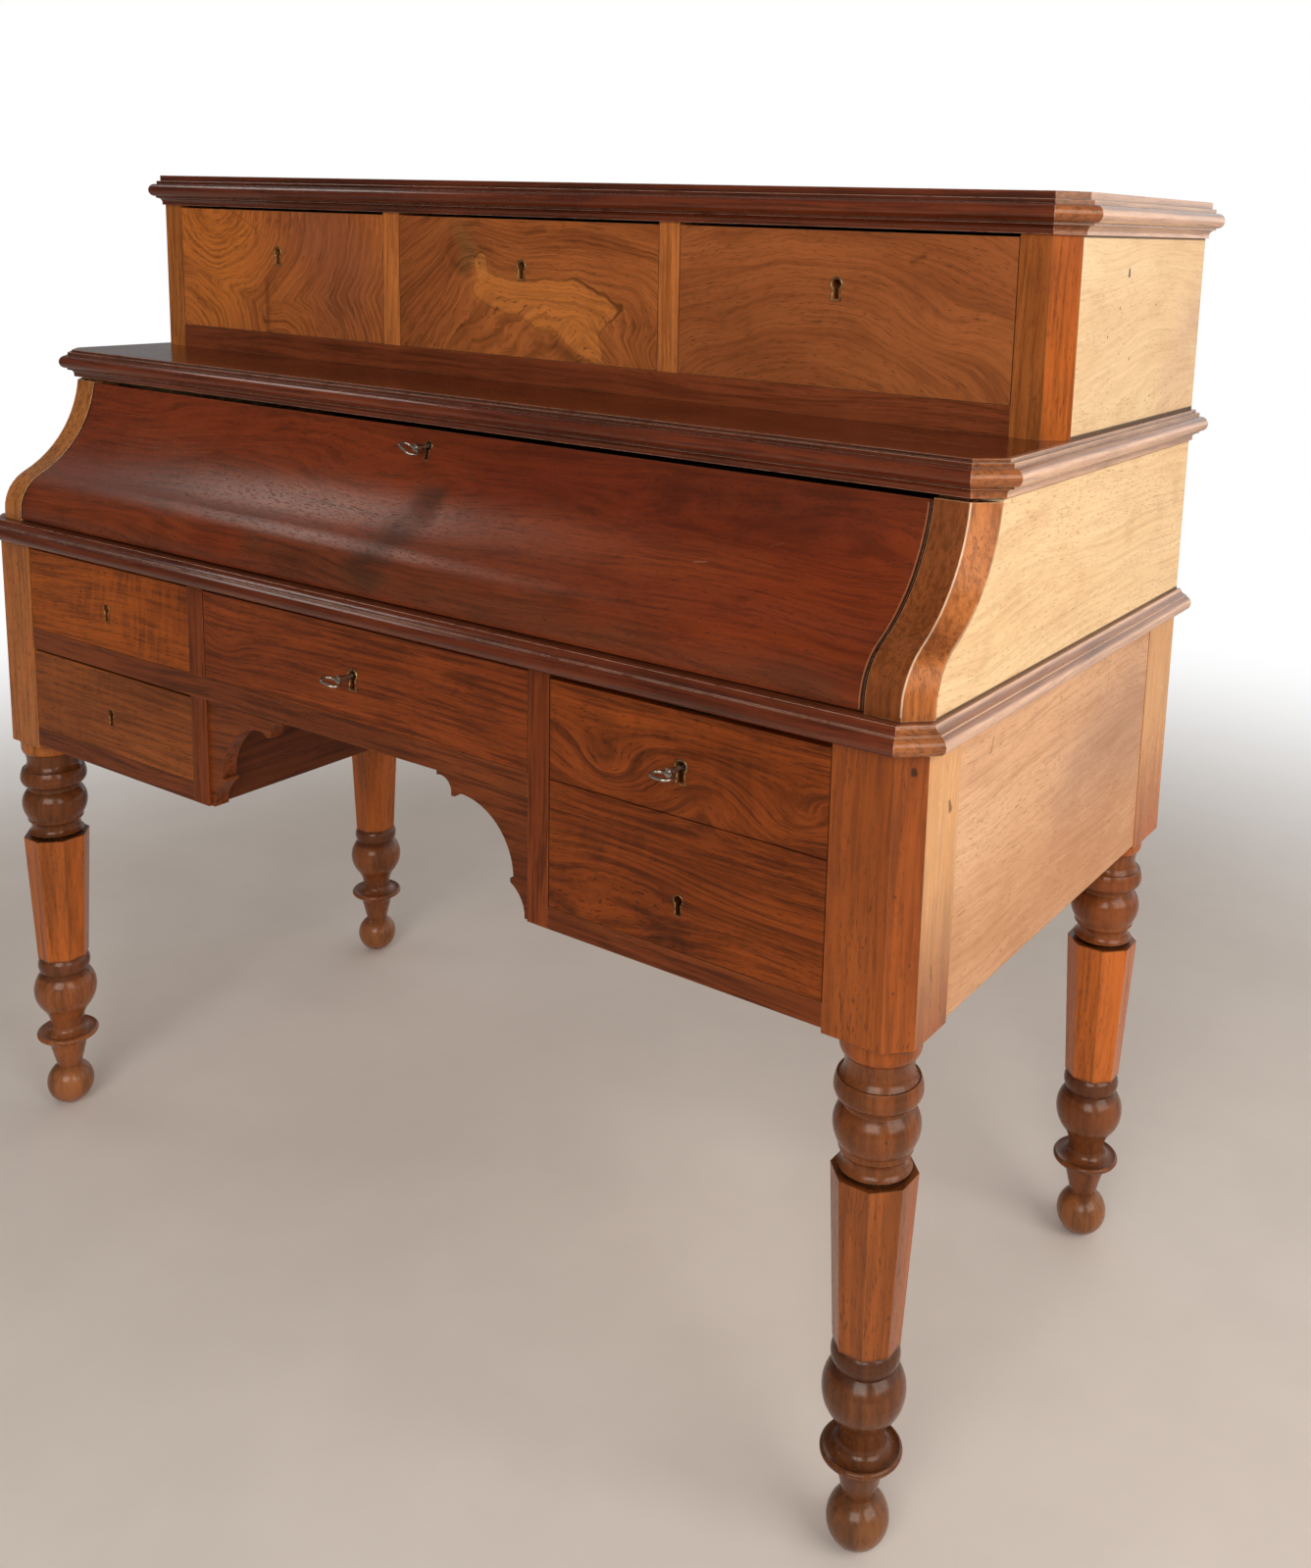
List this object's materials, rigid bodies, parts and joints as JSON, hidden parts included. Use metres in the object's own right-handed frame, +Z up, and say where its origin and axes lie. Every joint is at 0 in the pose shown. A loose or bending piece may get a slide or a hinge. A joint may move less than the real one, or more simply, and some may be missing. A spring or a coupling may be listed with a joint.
{
  "type": "cylinder desk",
  "caption": "Walnut cylinder desk: frieze and pedestal drawers on turned legs, a swinging ogee fall over the writing bed, and a drawer row under a moulded cornice.",
  "frame": {"origin": "on the floor, under the middle of the bounding box", "axes": "+X to the right of a person at the desk, +Y to the back, +Z up"},
  "size_m": [1.292, 0.6356, 1.1821],
  "materials": {
    "frame_walnut": "polished walnut, warm mid brown",
    "side_walnut": "polished walnut, sun-faded golden brown",
    "top_walnut": "polished walnut, dark brown",
    "moulding_walnut": "polished walnut, dark red brown, glossy",
    "fall_walnut": "figured walnut veneer, dark red brown, glossy",
    "drawer_walnut": "figured walnut veneer, polished",
    "carcase_pine": "plain softwood, aged and unfinished",
    "nest_walnut": "plain walnut, satin",
    "lock_brass": "aged brass",
    "key_steel": "dark worn steel"
  },
  "bodies": {
    "case": {"base_back": "carcase_pine", "base_sides": "side_walnut", "bottom_rails": "frame_walnut", "cornice_moulding": "moulding_walnut", "cornice_top": "top_walnut", "drawer_runners": "carcase_pine", "front_dividers": "frame_walnut", "knee_brackets": "frame_walnut", "knee_walls": "frame_walnut", "leg_front_left": "frame_walnut", "leg_front_right": "frame_walnut", "leg_rear_left": "frame_walnut", "leg_rear_right": "frame_walnut", "middle_rail": "frame_walnut", "nest_case": "nest_walnut", "ogee_sides": "side_walnut", "ogee_stiles": "frame_walnut", "pedestal_floors": "carcase_pine", "pivot_blocks": "carcase_pine", "pivot_pins": "key_steel", "stage_back": "carcase_pine", "stage_top": "top_walnut", "strike_plate": "lock_brass", "top_moulding": "moulding_walnut", "upper_back": "carcase_pine", "upper_floor": "carcase_pine", "upper_partitions": "frame_walnut", "upper_posts": "frame_walnut", "upper_rails": "frame_walnut", "upper_sides": "side_walnut", "waist_moulding": "moulding_walnut", "writing_bed": "top_walnut"},
    "cylinder": {"cylinder_fall": "fall_walnut", "cylinder_arms": "carcase_pine", "fall_lock": "lock_brass"},
    "cylinder_key": {"fall_key": "key_steel"},
    "cylinder_bolt": {"fall_bolt": "key_steel"},
    "centre_drawer_key": {"centre_key": "key_steel"},
    "centre_drawer_bolt": {"centre_bolt": "key_steel"},
    "right_drawer_key": {"right_key": "key_steel"},
    "right_drawer_bolt": {"right_bolt": "key_steel"},
    "small_drawer_left": {"nest_drawer_left": "nest_walnut"},
    "small_drawer_right": {"nest_drawer_right": "nest_walnut"},
    "upper_left_drawer": {"upper_left_drawer_front": "drawer_walnut", "upper_left_drawer_box": "carcase_pine"},
    "upper_centre_drawer": {"upper_centre_drawer_front": "drawer_walnut", "upper_centre_drawer_box": "carcase_pine"},
    "upper_right_drawer": {"upper_right_drawer_front": "drawer_walnut", "upper_right_drawer_box": "carcase_pine"},
    "left_top_drawer": {"left_top_drawer_front": "drawer_walnut", "left_top_drawer_box": "carcase_pine"},
    "left_low_drawer": {"left_low_drawer_front": "drawer_walnut", "left_low_drawer_box": "carcase_pine"},
    "centre_drawer": {"centre_drawer_front": "drawer_walnut", "centre_drawer_box": "carcase_pine", "centre_lock": "lock_brass"},
    "right_drawer": {"right_drawer_front": "drawer_walnut", "right_drawer_box": "carcase_pine", "right_lock": "lock_brass"}
  },
  "joints": [
    {"name": "cylinder_swing", "type": "hinge", "parent": "case", "child": "cylinder", "pos_m": [0, -0.13152, 0.788], "axis": [-1, 0, 0], "range_deg": [0, 62]},
    {"name": "upper_left_drawer_slide", "type": "slide", "parent": "case", "child": "upper_left_drawer", "axis": [0, -1, 0], "range_m": [0, 0.22]},
    {"name": "upper_centre_drawer_slide", "type": "slide", "parent": "case", "child": "upper_centre_drawer", "axis": [0, -1, 0], "range_m": [0, 0.22]},
    {"name": "upper_right_drawer_slide", "type": "slide", "parent": "case", "child": "upper_right_drawer", "axis": [0, -1, 0], "range_m": [0, 0.22]},
    {"name": "left_top_drawer_slide", "type": "slide", "parent": "case", "child": "left_top_drawer", "axis": [0, -1, 0], "range_m": [0, 0.38]},
    {"name": "left_low_drawer_slide", "type": "slide", "parent": "case", "child": "left_low_drawer", "axis": [0, -1, 0], "range_m": [0, 0.38]},
    {"name": "centre_drawer_slide", "type": "slide", "parent": "case", "child": "centre_drawer", "axis": [0, -1, 0], "range_m": [0, 0.38]},
    {"name": "right_drawer_slide", "type": "slide", "parent": "case", "child": "right_drawer", "axis": [0, -1, 0], "range_m": [0, 0.38]},
    {"name": "small_drawer_left_slide", "type": "slide", "parent": "case", "child": "small_drawer_left", "axis": [0, -1, 0], "range_m": [0, 0.1]},
    {"name": "small_drawer_right_slide", "type": "slide", "parent": "case", "child": "small_drawer_right", "axis": [0, -1, 0], "range_m": [0, 0.1]},
    {"name": "cylinder_key_turn", "type": "hinge", "parent": "cylinder", "child": "cylinder_key", "pos_m": [0, -0.17625, 0.91239], "axis": [0, 1, 0], "range_deg": [0, 90]},
    {"name": "cylinder_bolt_slide", "type": "slide", "parent": "cylinder", "child": "cylinder_bolt", "axis": [0, 0, 1], "range_m": [0, 0.02]},
    {"name": "centre_drawer_key_turn", "type": "hinge", "parent": "centre_drawer", "child": "centre_drawer_key", "pos_m": [0, -0.28175, 0.6938], "axis": [0, 1, 0], "range_deg": [0, 90]},
    {"name": "centre_drawer_bolt_slide", "type": "slide", "parent": "centre_drawer", "child": "centre_drawer_bolt", "axis": [0, 0, 1], "range_m": [0, 0.014]},
    {"name": "right_drawer_key_turn", "type": "hinge", "parent": "right_drawer", "child": "right_drawer_key", "pos_m": [0.4035, -0.28175, 0.6913], "axis": [0, 1, 0], "range_deg": [0, 90]},
    {"name": "right_drawer_bolt_slide", "type": "slide", "parent": "right_drawer", "child": "right_drawer_bolt", "axis": [0, 0, 1], "range_m": [0, 0.014]}
  ],
  "couplings": [
    {"joint": "cylinder_bolt_slide", "follows": "cylinder_key_turn", "m_per_rad": 0.012732},
    {"joint": "centre_drawer_bolt_slide", "follows": "centre_drawer_key_turn", "m_per_rad": 0.0089127},
    {"joint": "right_drawer_bolt_slide", "follows": "right_drawer_key_turn", "m_per_rad": 0.0089127}
  ]
}
